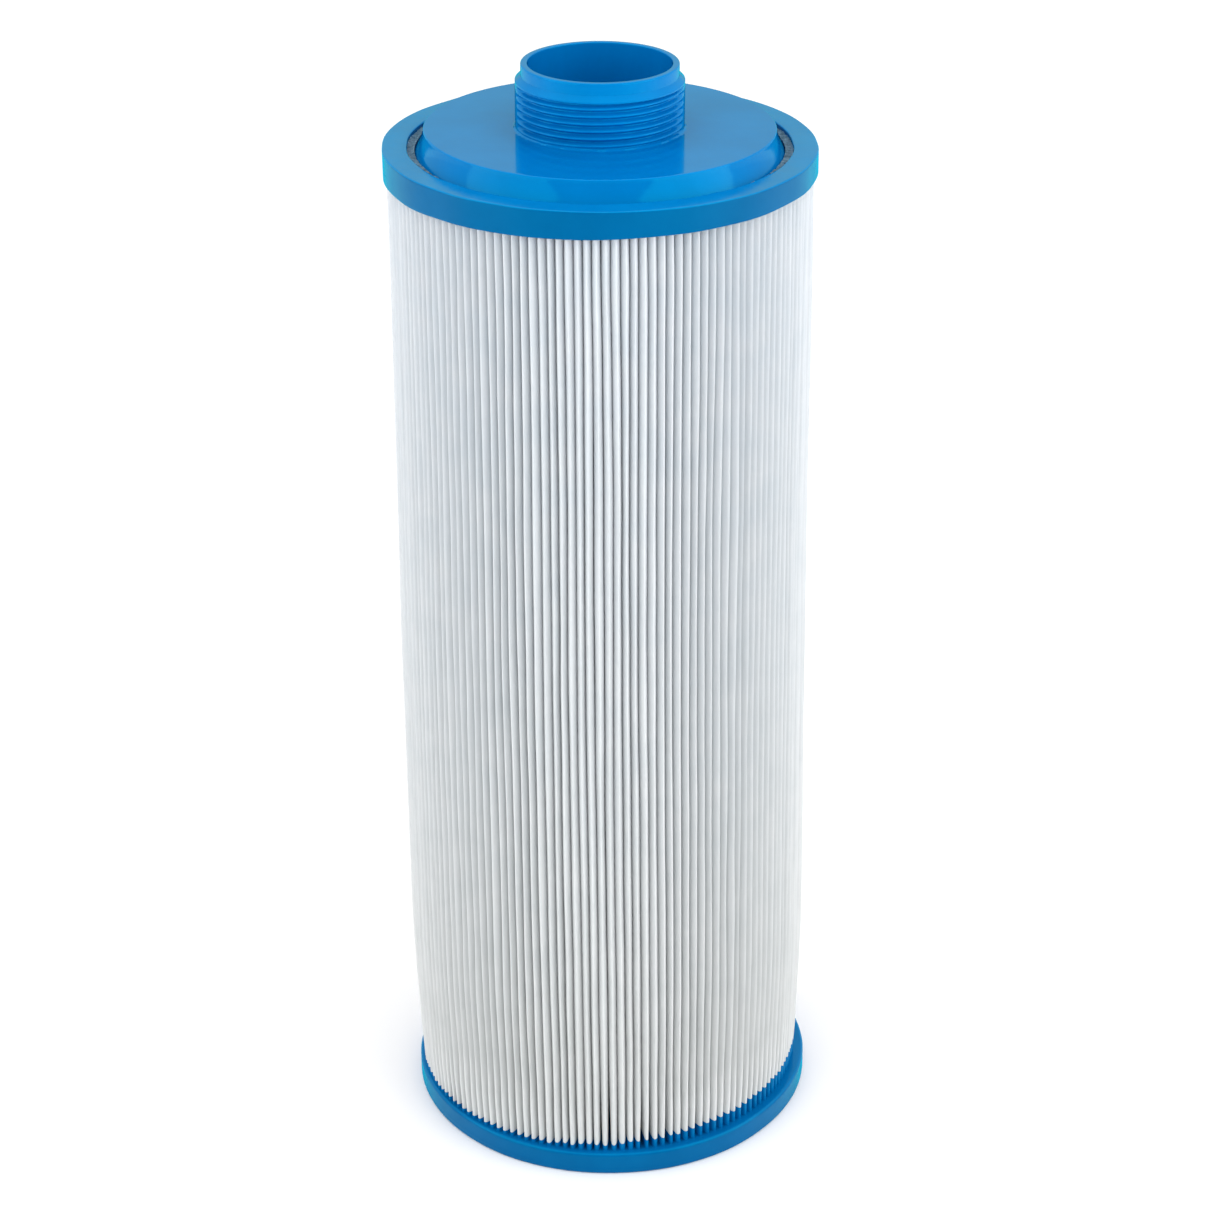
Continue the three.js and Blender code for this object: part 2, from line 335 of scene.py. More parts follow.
# The gloss of both blue plastics. The coat has no reflection of its own: it only deepens the
# colour at a slant.
BLUE_GLOSS = {
    "IOR": 1.5,
    "Specular_IOR_Level": 0.5,
    "Specular_Tint": (0.02, 0.92, 1.0, 1),
    "Coat_Weight": 1.0,
    "Coat_IOR": 1.0,
    "Coat_Roughness": 0.1,
}


def fitting_plastic():
    """Glossy injection-moulded blue plastic: flow marks in the colour, faint orange peel and
    scuffs."""
    n = Nodes("glossy_blue_moulding")
    cloud = n.noise(scale=38.0, detail=4.0, roughness=0.55)
    streak = n.noise(scale=60.0, detail=5.0, roughness=0.6,
                     place=n.stretched(1.0, 1.0, 0.25), distortion=0.6)
    tone = n.math("MULTIPLY", n.math("ADD", cloud, streak), 0.5)
    colour = n.mottled(tone, (0.0, 0.184, 0.529, 1), (0.0, 0.214, 0.596, 1), 0.35, 0.65)
    peel = n.noise(scale=1400.0, detail=2.0, roughness=0.5)
    wave = n.noise(scale=120.0, detail=2.0, roughness=0.5)
    scuff = n.noise(scale=900.0, detail=6.0, roughness=0.7,
                    place=n.stretched(1.0, 0.12, 0.3), distortion=0.4)
    rough = n.ramp(scuff, 0.07, 0.16, 0.35, 0.75)
    normal = n.bump(wave, strength=0.10, distance=0.25 * MM)
    normal = n.bump(peel, strength=0.05, distance=0.05 * MM, normal=normal)
    return n.shade(Base_Color=colour, Roughness=rough, Normal=normal,
                   Coat_Tint=(0.70, 0.96, 0.97, 1), **BLUE_GLOSS)


def cap_resin():
    """Cast blue polyurethane, slightly darker than the fitting. It has softer gloss, gentle casting
    waves and a few small pits. The rim's top is painted paler, as painted light from above, and the
    bottom cap's top and the coated ends of the folds are a little paler."""
    n = Nodes("cast_blue_resin")
    cloud = n.noise(scale=55.0, detail=5.0, roughness=0.6)
    body = n.mottled(cloud, (0.0, 0.078, 0.255, 1), (0.0, 0.098, 0.300, 1))
    # Paler blue: on the rim's top it is painted light, the top shown brighter than its side as if
    # lit from above; on the bottom cap's top and the coated fold ends it is only a little paler.
    paler_and_lit_blue = n.mottled(cloud, (0.0, 0.170, 0.450, 1), (0.0, 0.206, 0.520, 1))
    rim_top_painted_light = n.ramp(n.height(OUTLET_TILT), 0.0, 1.0, RIM_TOP_Z - 0.35 * MM, RIM_TOP_Z - 0.18 * MM)
    foot_paleness = 0.45
    on_foot = n.ramp(n.height(), 0.0, foot_paleness, CAP_TOP_Z - 0.5 * MM, CAP_TOP_Z - 0.2 * MM)
    above_foot = n.ramp(n.height(), 0.0, foot_paleness, 30 * MM, 40 * MM)
    colour = n.mix(n.math("MAXIMUM", rim_top_painted_light, n.math("SUBTRACT", on_foot, above_foot)), body, paler_and_lit_blue)
    wave = n.noise(scale=160.0, detail=3.0, roughness=0.5)
    grain = n.noise(scale=2200.0, detail=3.0, roughness=0.6)
    cells = n.add("ShaderNodeTexVoronoi", {"feature": "F1"}, Vector=n.place, Scale=190.0)
    chosen = n.ramp(cells.outputs["Color"], 0.0, 1.0, 0.78, 0.80)
    pit = n.math("MULTIPLY", n.ramp(cells.outputs["Distance"], 1.0, 0.0, 0.02, 0.07), chosen)
    rough = n.ramp(n.noise(scale=260.0, detail=4.0, roughness=0.6), 0.11, 0.24, 0.3, 0.7)
    normal = n.bump(wave, strength=0.14, distance=0.4 * MM)
    normal = n.bump(grain, strength=0.05, distance=0.06 * MM, normal=normal)
    normal = n.bump(n.math("SUBTRACT", 1.0, pit), strength=0.4, distance=0.08 * MM, normal=normal)
    return n.shade(Base_Color=colour, Roughness=rough, Normal=normal,
                   Coat_Tint=(0.70, 0.985, 1.0, 1), **BLUE_GLOSS)


def potting_adhesive():
    """Rough grey adhesive with bubbles and a dusty surface."""
    n = Nodes("grey_potting_adhesive")
    cloud = n.noise(scale=500.0, detail=6.0, roughness=0.7)
    colour = n.mottled(cloud, (0.02, 0.07, 0.11, 1), (0.20, 0.34, 0.43, 1))
    bubbles = n.add("ShaderNodeTexVoronoi", Vector=n.place, Scale=1100.0).outputs["Distance"]
    grain = n.noise(scale=1800.0, detail=6.0, roughness=0.7)
    normal = n.bump(bubbles, strength=0.6, distance=0.3 * MM)
    normal = n.bump(grain, strength=0.6, distance=0.3 * MM, normal=normal)
    return n.shade(Base_Color=colour, Roughness=n.ramp(grain, 0.45, 0.9), Normal=normal,
                   Specular_IOR_Level=0.15)


def filter_fabric():
    """White spunbond polyester: crossed random fibres, faint mottling, a soft sheen, and a cooler
    tint higher up that is painted light from above."""
    n = Nodes("white_spunbond_polyester")
    mottle = n.ramp(n.noise(scale=90.0, detail=4.0, roughness=0.6), 0.0, 1.0, 0.3, 0.7)
    fine = n.noise(scale=900.0, detail=5.0, roughness=0.65)
    # Painted light: the colour turns cooler and a little lighter towards the top, standing in for
    # cool light from above.
    upper = n.mix(mottle, (0.620, 0.665, 0.705, 1), (0.670, 0.700, 0.730, 1))
    lower = n.mix(mottle, (0.600, 0.615, 0.610, 1), (0.645, 0.655, 0.650, 1))
    painted_sky_tint = n.mix(n.ramp(n.height(), 0.0, 1.0, 0.04, 0.30), lower, upper)
    colour = n.mix(n.ramp(fine, 0.0, 0.16, 0.3, 0.7), painted_sky_tint, (0.57, 0.585, 0.60, 1))
    lengthwise = n.noise(scale=5200.0, detail=4.0, roughness=0.6,
                         place=n.stretched(1.0, 1.0, 0.16), distortion=1.2)
    crosswise = n.noise(scale=3600.0, detail=4.0, roughness=0.6,
                        place=n.stretched(1.0, 1.0, 1.6), distortion=2.2)
    fibres = n.math("MAXIMUM", lengthwise, crosswise)
    ripple = n.noise(scale=240.0, detail=3.0, roughness=0.5,
                     place=n.stretched(1.0, 1.0, 0.5))
    normal = n.bump(ripple, strength=0.12, distance=0.3 * MM)
    normal = n.bump(fibres, strength=0.30, distance=0.12 * MM, normal=normal)
    return n.shade(Base_Color=colour, Roughness=n.ramp(fibres, 0.78, 0.98), Normal=normal,
                   Subsurface_Weight=0.4, Subsurface_Radius=(1, 1, 1), Subsurface_Scale=1.0 * MM,
                   Sheen_Weight=0.03, Sheen_Roughness=0.5, Specular_IOR_Level=0.1)


def core_plastic():
    """Natural white moulded polypropylene, satin, with flow lines and light dust."""
    n = Nodes("natural_white_polypropylene")
    cloud = n.noise(scale=70.0, detail=4.0, roughness=0.6)
    colour = n.mottled(cloud, (0.74, 0.73, 0.69, 1), (0.83, 0.82, 0.78, 1))
    grain = n.noise(scale=1600.0, detail=4.0, roughness=0.6)
    normal = n.bump(grain, strength=0.15, distance=0.1 * MM)
    return n.shade(Base_Color=colour, Roughness=n.ramp(grain, 0.34, 0.52, 0.3, 0.7), Normal=normal)


def hot_melt():
    """Milky hot-melt adhesive, smooth and slightly translucent."""
    n = Nodes("milky_hot_melt")
    cloud = n.noise(scale=300.0, detail=4.0, roughness=0.6)
    colour = n.mottled(cloud, (0.72, 0.68, 0.55, 1), (0.84, 0.81, 0.70, 1))
    lumps = n.noise(scale=500.0, detail=3.0, roughness=0.5)
    normal = n.bump(lumps, strength=0.3, distance=0.3 * MM)
    return n.shade(Base_Color=colour, Roughness=n.ramp(cloud, 0.25, 0.4), Normal=normal)


def floor_paint():
    """Pale matt studio floor with a faint mottle."""
    n = Nodes("pale_studio_floor")
    cloud = n.noise(scale=3.0, detail=4.0, roughness=0.6)
    colour = n.mottled(cloud, (0.95, 0.95, 0.95, 1), (0.97, 0.97, 0.97, 1))
    return n.shade(Base_Color=colour, Roughness=n.ramp(cloud, 0.85, 0.95), Specular_IOR_Level=0.1)


# ---------------------------------------------------------------- outlet fitting

FOOT_BURR = waves(77, 12, 0.14 * MM, 2.5 * MM, 14 * MM)


def neck_shape(radius, height, turn):
    """Shapes the rows of the neck: its thread, the chamfered start and the burr at its foot."""
    on_neck = (np.abs(radius - THREAD_RADIUS) < SAME_PLACE) & (height > DISC_TOP_Z)
    turns = (height - THREAD_CREST_Z) / THREAD_PITCH - turn / TURN
    phase = turns - np.floor(turns)
    groove = np.clip(1 - np.abs(2 * phase - 1) - THREAD_FLAT, 0, THREAD_FLANK) / THREAD_FLANK
    groove = 0.4 * groove + 0.6 * smoothstep(0, 1, groove)
    run_out = smoothstep(0.1 * MM, 1.1 * MM, height - DISC_TOP_Z)
    run_in = smoothstep(0, 0.5 * MM, THREAD_TOP_Z - height)
    # The two mould lines are on +X and -X, and the grooves fade out beside them.
    from_mould_line = np.degrees(np.arcsin(np.clip(np.abs(np.sin(turn)), 0, 1)))
    beside_line = smoothstep(11, 27, from_mould_line)
    threaded = THREAD_RADIUS - THREAD_DEPTH * groove * run_in * run_out * beside_line
    chamfer = LIP_RADIUS + (LIP_FOOT_Z - height) * (THREAD_RADIUS - LIP_RADIUS) / NECK_CHAMFER
    # A thin, broken burr stands round the neck's foot.
    at_foot = np.abs(radius - THREAD_RADIUS - BURR_OFFSET) < SAME_PLACE
    at_foot &= height < DISC_TOP_Z + 0.5 * MM
    burr = np.clip(FOOT_BURR(turn * THREAD_RADIUS), 0, None)
    height = np.where(at_foot, height + burr, height)
    radius = np.where(at_foot, radius + 0.6 * burr, radius)
    return np.where(on_neck, np.minimum(threaded, chamfer), radius), height


def outlet_fitting():
    spigot_radius = CORE_RADIUS - 3.3 * MM
    collar_radius = CORE_RADIUS + 0.1 * MM
    collar_z = CORE_TOP_Z + 0.3 * MM
    skirt_inner = FITTING_RADIUS - SKIRT_WALL
    neck_foot_z = DISC_TOP_Z + 0.4 * MM
    thread_rows = 110
    flare = [
        (FITTING_RADIUS - FLARE_WIDTH * (1 - (1 - t) ** FLARE_POWER),
         FLARE_FOOT_Z + FLARE_HEIGHT * t, 0)
        for t in np.linspace(0, 0.9, 12)
    ]
    lower = rounded([
        (BORE_RADIUS, FITTING_LOW.z + 2 * MM, 0),
        (BORE_RADIUS, FITTING_LOW.z, 0.3 * MM),
        (spigot_radius, FITTING_LOW.z, 0.3 * MM),
        (spigot_radius, collar_z, 0),
        (collar_radius, collar_z, 0),
        (collar_radius, DISC_UNDERSIDE_Z, 0),
        (skirt_inner, DISC_UNDERSIDE_Z, 0),
        (skirt_inner, SKIRT_BOTTOM_Z, 0.3 * MM),
        (FITTING_RADIUS, SKIRT_BOTTOM_Z, 0.3 * MM),
        *flare,
        (DISC_TOP_RADIUS, DISC_TOP_Z, 0.4 * MM),
        (THREAD_RADIUS + 2.0 * MM, DISC_TOP_Z, 0),
        (THREAD_RADIUS + 1.0 * MM, DISC_TOP_Z, 0),
        (THREAD_RADIUS + 0.5 * MM, DISC_TOP_Z, 0),
        (THREAD_RADIUS + BURR_OFFSET, DISC_TOP_Z + 0.2 * MM, 0),
    ])
    rows = np.linspace(neck_foot_z, LIP_FOOT_Z, thread_rows)
    neck = [(THREAD_RADIUS, height) for height in rows]
    upper = rounded([
        (LIP_RADIUS, LIP_FOOT_Z + 0.15 * MM, 0),
        (LIP_RADIUS, TOP_Z, 0.45 * MM),
        (BORE_RADIUS, TOP_Z, 0.35 * MM),
        (BORE_RADIUS, LIP_FOOT_Z, 0),
    ])
    vertices, faces = revolve(lower + neck + upper, FITTING_SEGMENTS, shape=neck_shape)
    piece = new_object("outlet_fitting", tilted(vertices), faces, MOULDED_EDGE)
    finish_piece(piece, fitting_plastic(), "threaded_adapter")


# ---------------------------------------------------------------- cast end caps

CASTING_RADIUS = 60 * MM


def casting_shape(seed, size):
    """Gentle unevenness of a cast ring, round its turn and towards its outside."""
    side = waves(seed, 9, size, 14 * MM, 70 * MM)
    lift = waves(seed + 1, 9, 0.6 * size, 18 * MM, 90 * MM)

    def shape(radius, height, turn):
        # Blend the wave with itself so that it closes after one turn.
        round_it = turn * CASTING_RADIUS
        back = (turn - TURN) * CASTING_RADIUS
        share = turn / TURN
        r = side(round_it) * (1 - share) + side(back) * share
        z = lift(round_it) * (1 - share) + lift(back) * share
        outer = smoothstep(30 * MM, 50 * MM, radius)
        # The top cap's lower edge, where resin ran against the mould's lip, is the least even.
        lower_edge = (np.abs(height - TOP_CAP_LOW.z) < 1 * MM) & (radius > TOP_CAP_RADIUS - 3 * MM)
        z = np.where(lower_edge, 2.5 * z, z)
        return radius + r * outer, height + z * outer * (height > 1 * MM)

    return shape


def top_cap(resin):
    bed_radius = FITTING_RADIUS - SKIRT_WALL - 0.3 * MM
    bed_top = DISC_UNDERSIDE_Z - 0.3 * MM
    bore = CORE_RADIUS + 0.4 * MM
    profile = rounded([
        (bore, TOP_CAP_LOW.z, 0),
        (TOP_CAP_RADIUS, TOP_CAP_LOW.z, 0.35 * MM),
        (TOP_CAP_RADIUS, RIM_TOP_Z, 0.4 * MM),
        (RIM_INNER_RADIUS, RIM_TOP_Z, 0.4 * MM),
        (RIM_INNER_RADIUS, GROOVE_FLOOR_Z, 0),
        (bed_radius, GROOVE_FLOOR_Z, 0),
        (bed_radius, bed_top, 0),
        (bore, bed_top, 0),
    ], steps=6)
    vertices, faces = revolve(profile, CAP_SEGMENTS, shape=casting_shape(11, 0.07 * MM))
    share = smoothstep(TOP_CAP_LOW.z, RIM_TOP_Z - 1 * MM, vertices[:, 2])
    piece = new_object("top_cap_ring", tilted(vertices, share), faces, MOULDED_EDGE)
    finish_piece(piece, resin, "top_end_cap")


def bottom_cap(resin):
    hub = 8 * MM
    profile = rounded([
        (hub, BOTTOM_CAP_LOW.z, 0),
        (BOTTOM_CAP_RADIUS, BOTTOM_CAP_LOW.z, 0.8 * MM),
        (BOTTOM_CAP_RADIUS, CAP_TOP_Z, 0.9 * MM),
        (hub, CAP_TOP_Z, 0),
    ], steps=6)
    shape = casting_shape(23, 0.05 * MM)
    vertices, faces = revolve(profile, CAP_SEGMENTS, closed=False, shape=shape)
    vertices, faces = close_poles(vertices, faces, len(profile), CAP_SEGMENTS,
                                  BOTTOM_CAP_LOW.z, CAP_TOP_Z)
    piece = new_object("bottom_cap_disc", vertices, faces, MOULDED_EDGE)
    finish_piece(piece, resin, "bottom_end_cap")


def groove_adhesive():
    """Lumpy bead in the groove. It stands higher against the fitting than against the rim, and
    higher at the sides than in front."""
    inner, outer = FITTING_RADIUS - 0.05 * MM, RIM_INNER_RADIUS + 0.05 * MM
    low, high = SEALANT_LOW.z, SEALANT_HIGH.z
    outer_high = low + 3.3 * MM
    lumps_per_metre = 420
    steps = 7
    slope = []
    for step in range(steps):
        share = step / (steps - 1)
        sag = 0.25 * MM * math.sin(math.pi * share)
        top = outer_high + (high - outer_high) * share ** 1.5
        slope.append((outer + (inner - outer) * share, top - sag))
    profile = [(inner, low), (outer, low)] + slope

    def lumps(radius, height, turn):
        lump = np.empty_like(radius)
        for index in np.ndindex(radius.shape):
            r, z, t = radius[index], height[index], turn[index]
            place = Vector((r * math.cos(t), r * math.sin(t), z)) * lumps_per_metre
            lump[index] = noise.fractal(place, 0.8, 2.0, 4)
        top = height > low + 0.3 * (high - low)
        heaped = 1.1 * MM * np.abs(np.cos(turn))
        return radius, np.where(top, height + heaped + 0.4 * MM * lump, height)

    vertices, faces = revolve(profile, ADHESIVE_SEGMENTS, shape=lumps)
    piece = new_object("groove_adhesive", tilted(vertices), faces, 60)
    finish_piece(piece, potting_adhesive(), "groove_sealant")


# ---------------------------------------------------------------- pleated sheet

PLEATS = 146
ROOT_RADIUS = 26.2 * MM
SEAM_GAP = math.radians(1.8)
TIP_WALL = 0.9 * MM
ROOT_WALL = 0.45 * MM
ROOT_HALF_FLAT = 0.42 * MM

# A fold's rounded outside: how far it falls back from tip to groove, by what power, and at which
# shares of its half width it has points. The second power is added at the foot, where the folds
# are blunter.
FOLD_DEPTH = 2.3 * MM
FOLD_POWER = 1.3
FOOT_POWER = 1.9
FOLD_SHARES = (0.14, 0.38, 0.68, 1.0)

# Limits of half a fold, as a share of the pitch and as a length, and of half a groove.
WIDEST_HALF_FOLD = 0.56
LEAST_HALF_FOLD = 0.2 * MM
LEAST_HALF_GAP = 0.04 * MM

# How the pack stands: it swells between the caps, draws in at its foot and leans to -X below its
# upper end.
PACK_BULGE = 1.3 * MM
FOOT_TAPER = 0.5 * MM
PACK_LEAN = 1.0 * MM

WHITE_START_Z = CAP_TOP_Z + 2.2 * MM


class PleatPack:
    """Where every fold runs at each height: its tip, and the groove it shares with the next one."""

    def __init__(self):
        random = np.random.default_rng(7)
        self.pitch = (TURN - SEAM_GAP) / PLEATS
        start = math.pi / 2 + SEAM_GAP / 2 + self.pitch / 2
        jitter = random.normal(0, 0.045, PLEATS) * self.pitch
        self.centre = start + np.arange(PLEATS) * self.pitch + jitter
        self.tip_offset = random.normal(0, 0.13, PLEATS) * MM
        # A few grooves gape at the foot, and close again over this length.
        self.opening = (0.08 + 0.5 * random.uniform(0, 1, PLEATS) ** 5) * MM
        self.opening_length = 24 * MM * random.uniform(0.6, 1.5, PLEATS)
        self.slack = np.abs(random.normal(0, 0.05, PLEATS)) * MM
        # Sideways and radial wander of each fold, and the wander that neighbours share.
        self.sway = [waves(100 + k, 5, 0.07 * MM, 30 * MM, 200 * MM) for k in range(PLEATS)]
        self.breathe = [waves(400 + k, 4, 0.07 * MM, 40 * MM, 200 * MM) for k in range(PLEATS)]
        self.drift = waves(900, 5, 0.17 * MM, 12 * MM, 60 * MM)
        self.drift_height = waves(901, 3, 1.0, 120 * MM, 420 * MM)

    def tips(self, heights):
        """Arrays [height, fold] of the tips' angles and radii."""
        h = heights[:, None]
        low, high = CAP_TOP_Z, TOP_CAP_LOW.z
        sway = np.stack([wave(heights) for wave in self.sway], 1)
        breathe = np.stack([wave(heights) for wave in self.breathe], 1)
        shared = self.drift(self.centre * TIP_RADIUS)[None, :] * self.drift_height(heights)[:, None]
        free = smoothstep(0, 30 * MM, h - low) * smoothstep(0, 18 * MM, high - h)
        angle = self.centre[None, :] + (sway + shared) * (0.3 + 0.7 * free) / TIP_RADIUS
        bulge = PACK_BULGE * smoothstep(0, 60 * MM, h - low) * smoothstep(0, 260 * MM, high - h)
        radius = TIP_RADIUS + self.tip_offset[None, :] * (0.4 + 0.6 * free) + breathe * free + bulge
        return angle, radius - FOOT_TAPER * (1 - smoothstep(0, 14 * MM, h - low))

    def grooves(self, heights, angle):
        """Arrays [height, fold] of the angle and half width of the groove after each fold."""
        following = np.roll(angle, -1, axis=1)
        following[:, -1] += TURN
        above = heights[:, None] - WHITE_START_Z
        pinch = np.clip(1 - above / self.opening_length[None, :], 0, 1) ** 1.3
        under_rim = 0.06 * MM * (1 - smoothstep(0, 14 * MM, TOP_CAP_LOW.z - heights[:, None]))
        half_gap = LEAST_HALF_GAP + self.slack + under_rim + self.opening * pinch
        return (angle + following) / 2, half_gap


def in_plan(angle, radius):
    """Points [.., xy] from polar coordinates."""
    return np.stack([radius * np.cos(angle), radius * np.sin(angle)], -1)


def lean(points, heights):
    """The pack stands a little to -X below its upper end."""
    shift = -PACK_LEAN * (1 - smoothstep(0.45 * MEDIA_HIGH.z, MEDIA_HIGH.z, heights))
    points[..., 0] += shift[:, None]
    return points


def outside_line(pack, heights, grow=0.0):
    """Outside of the sheet in plan, [height, point, xy], anticlockwise: rounded folds with a groove
    after each. grow makes a coat of that thickness on it."""
    angle, radius = pack.tips(heights)
    after, gap = pack.grooves(heights, angle)
    before = np.roll(after, 1, axis=1)
    before[:, 0] -= TURN
    gap_before = np.roll(gap, 1, axis=1)
    widest = WIDEST_HALF_FOLD * pack.pitch
    power = FOLD_POWER + FOOT_POWER * (1 - smoothstep(0, 22 * MM, heights[:, None] - WHITE_START_Z))
    columns = []
    for side, edge, half_gap in ((-1, before, gap_before), (1, after, gap)):
        middle = np.abs(edge - angle) * radius
        reach = np.minimum(middle, widest * radius) - half_gap
        reach = np.clip(reach + grow, LEAST_HALF_FOLD, middle - 0.02 * MM)
        run = []
        for share in FOLD_SHARES:
            depth = FOLD_DEPTH * share ** power - grow
            run.append((angle + side * reach * share / radius, radius - depth))
        columns += run[::-1] if side < 0 else [(angle, radius + grow)] + run
    columns.append((after, np.full_like(angle, ROOT_RADIUS + ROOT_WALL)))
    points = np.stack([in_plan(a, r) for a, r in columns], 2)
    return lean(points.reshape(len(heights), -1, 2), heights)


def inside_line(pack, heights):
    """Inside of the sheet in plan: one point under each tip and a flat at each root."""
    angle, radius = pack.tips(heights)
    after, _ = pack.grooves(heights, angle)
    root = np.full_like(angle, ROOT_RADIUS)
    flat = ROOT_HALF_FLAT / ROOT_RADIUS
    columns = [(angle, radius - TIP_WALL), (after - flat, root), (after + flat, root)]
    points = np.stack([in_plan(a, r) for a, r in columns], 2)
    return lean(points.reshape(len(heights), -1, 2), heights)


def folded_wall(outside, outside_z, inside, inside_z):
    """A closed wall between an outside and an inside surface, each given as rows of points from the
    bottom up."""
    n_out, n_in = outside.shape[1], inside.shape[1]
    outer_points = np.concatenate([outside, outside_z[..., None]], -1).reshape(-1, 3)
    inner_points = np.concatenate([inside, inside_z[..., None]], -1).reshape(-1, 3)
    base = len(outer_points)
    faces = []
    for row in range(len(outside) - 1):
        faces += band(row * n_out, (row + 1) * n_out, n_out)
    for row in range(len(inside) - 1):
        below = base + row * n_in
        faces += [(b, a, d, c) for a, b, c, d in band(below, below + n_in, n_in)]
    faces += end_faces(0, base, n_out, n_in, False)
    last_out, last_in = (len(outside) - 1) * n_out, base + (len(inside) - 1) * n_in
    faces += end_faces(last_out, last_in, n_out, n_in, True)
    return np.concatenate([outer_points, inner_points]), faces


def end_faces(first_out, first_in, n_out, n_in, up):
    """Faces that close one end of the wall, fold by fold, between the outside and inside rows that
    start at the given vertices."""
    per_out, per_in = n_out // PLEATS, n_in // PLEATS
    arc = per_out - 2
    faces = []

    def add(*corners):
        faces.append(corners if up else corners[::-1])

    for fold in range(PLEATS):
        o = first_out + fold * per_out
        i = first_in + fold * per_in
        groove_before = first_out + (fold * per_out - 1) % n_out
        root_before = first_in + (fold * per_in - 1) % n_in
        root_after = first_in + (fold * per_in + 2) % n_in
        add(groove_before, o, i, root_before)
        for step in range(arc):
            add(o + step, o + step + 1, i)
        add(o + arc, o + arc + 1, i + 1, i)
        add(o + arc + 1, root_after, i + 1)
    return faces


def row_heights(low, high, count, crowding):
    """Heights from low to high, closer together near both ends."""
    t = np.linspace(0, 1, count)
    return low + (high - low) * (t - crowding * np.sin(TURN * t) / TURN)


def pleated_sheet(pack):
    low, high = CAP_TOP_Z - 0.3 * MM, TOP_CAP_LOW.z + 0.3 * MM
    heights = row_heights(low, high, 62, 0.5)
    inner_heights = np.linspace(low, high, 6)
    outside = outside_line(pack, heights)
    inside = inside_line(pack, inner_heights)
    outside_z = np.repeat(heights[:, None], outside.shape[1], 1)
    inside_z = np.repeat(inner_heights[:, None], inside.shape[1], 1)
    vertices, faces = folded_wall(outside, outside_z, inside, inside_z)
    piece = new_object("folded_filter_sheet", vertices, faces, 75)
    finish_piece(piece, filter_fabric(), "pleated_media")


def coated_fold_ends(pack, resin):
    """Lower ends of the folds, coated with resin that crept up them, and higher in the grooves,
    when the cap was cast. It crept furthest on +X."""
    random = np.random.default_rng(31)
    share = np.linspace(0, 1, 7)[:, None]
    base = CAP_TOP_Z - 0.4 * MM
    crest = np.maximum(1.3, 2.3 + 3.2 * np.cos(pack.centre)) * MM
    crest = crest + random.normal(0, 0.25, PLEATS) * MM
    crept = 0.35 * MM * random.uniform(0.3, 1.7, PLEATS)
    heights = base + (CAP_TOP_Z + crest.mean() - base) * share[:, 0]
    outside = outside_line(pack, heights, grow=0.12 * MM)
    inside = inside_line(pack, heights)
    arc = len(FOLD_SHARES)
    rise = [abs(step) / arc for step in range(-arc, arc + 1)] + [1.0]
    crests = CAP_TOP_Z + crest[:, None] + crept[:, None] * np.array(rise)[None, :] ** 3
    outside_z = base + (crests.reshape(1, -1) - base) * share
    inside_z = base + (np.repeat(CAP_TOP_Z + crest, 3)[None, :] - base) * share
    vertices, faces = folded_wall(outside, outside_z, inside, inside_z)
    piece = new_object("resin_coated_fold_ends", vertices, faces, 60)
    finish_piece(piece, resin)


def seam_bead():
    """Hot-melt line in the wider gap at the back."""
    rows = 60
    heights = np.linspace(SEAM_LOW.z, SEAM_HIGH.z, rows)
    thick = 0.42 * MM + waves(51, 4, 0.05 * MM, 20 * MM, 80 * MM)(heights)
    edge = SEAM_HIGH.y + waves(52, 4, 0.5 * MM, 15 * MM, 90 * MM)(heights)
    around = 12
    vertices = []
    for z, t, y in zip(heights, thick, edge):
        middle = (y + SEAM_LOW.y) / 2
        reach = (y - SEAM_LOW.y) / 2
        for step in range(around):
            a = step * TURN / around
            vertices.append((t * math.cos(a), middle + reach * math.sin(a), z))
    faces = []
    for row in range(rows - 1):
        faces += band(row * around, (row + 1) * around, around)
    faces.append(tuple(range(around - 1, -1, -1)))
    faces.append(tuple((rows - 1) * around + s for s in range(around)))
    piece = new_object("seam_hot_melt", vertices, faces, 50)
    finish_piece(piece, hot_melt(), "media_seam")


# ---------------------------------------------------------------- core

CORE_WALL = 3.0 * MM
PLUG_LENGTH = 6 * MM
WINDOWS_ROUND = 12
COLUMNS_PER_WINDOW = 8
BAR_COLUMNS = (0, 1, 2, 7)
WINDOW_ROWS = 3
WINDOW_HEIGHT = 22 * MM
WINDOW_PITCH = 28 * MM


